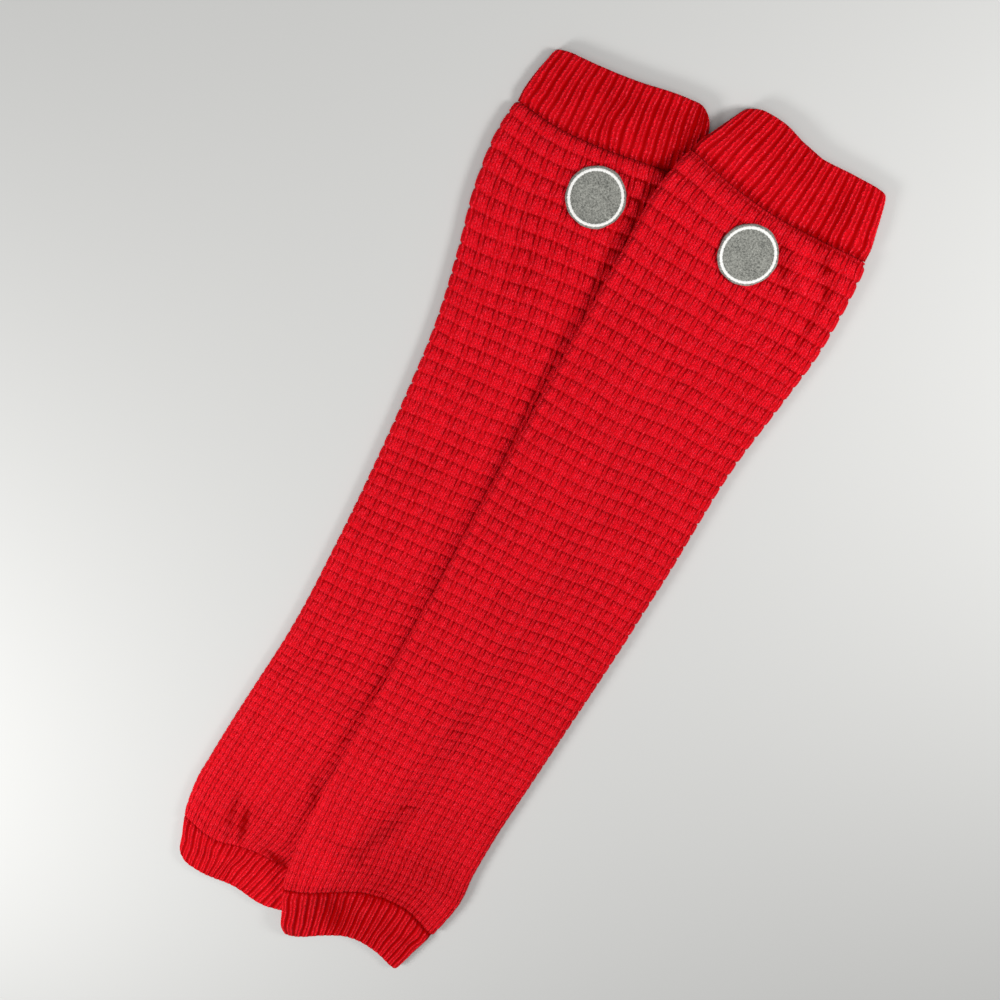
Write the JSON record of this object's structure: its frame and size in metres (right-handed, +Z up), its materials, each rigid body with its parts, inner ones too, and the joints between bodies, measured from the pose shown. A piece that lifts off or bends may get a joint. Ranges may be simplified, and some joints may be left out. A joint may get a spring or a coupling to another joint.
{
  "type": "pair of knit boot cuffs, long leg-warmer length",
  "caption": "Pair of long knit boot cuffs laid flat and overlapping, tubes of waffle knit with ribbed ends and a round felt patch on each.",
  "frame": {"origin": "on the surface that the pair lies on, under the middle of its bounding box", "axes": "+Y along the legs towards the wide top ribs' edges as worn, +X to the right of one who looks down at the pair with +Y away, +Z up from the surface"},
  "size_m": [0.158, 0.4858, 0.014],
  "materials": {
    "leg_knit": "red banded waffle knit, soft and matt",
    "rib_knit": "red one-by-one rib knit, soft and matt",
    "patch_felt": "heather grey felt with a white satin-stitched ring"
  },
  "bodies": {
    "root": {"left_leg": "leg_knit", "left_top_rib": "rib_knit", "left_ankle_rib": "rib_knit", "left_patch": "patch_felt", "right_leg": "leg_knit", "right_top_rib": "rib_knit", "right_ankle_rib": "rib_knit", "right_patch": "patch_felt"}
  },
  "joints": []
}
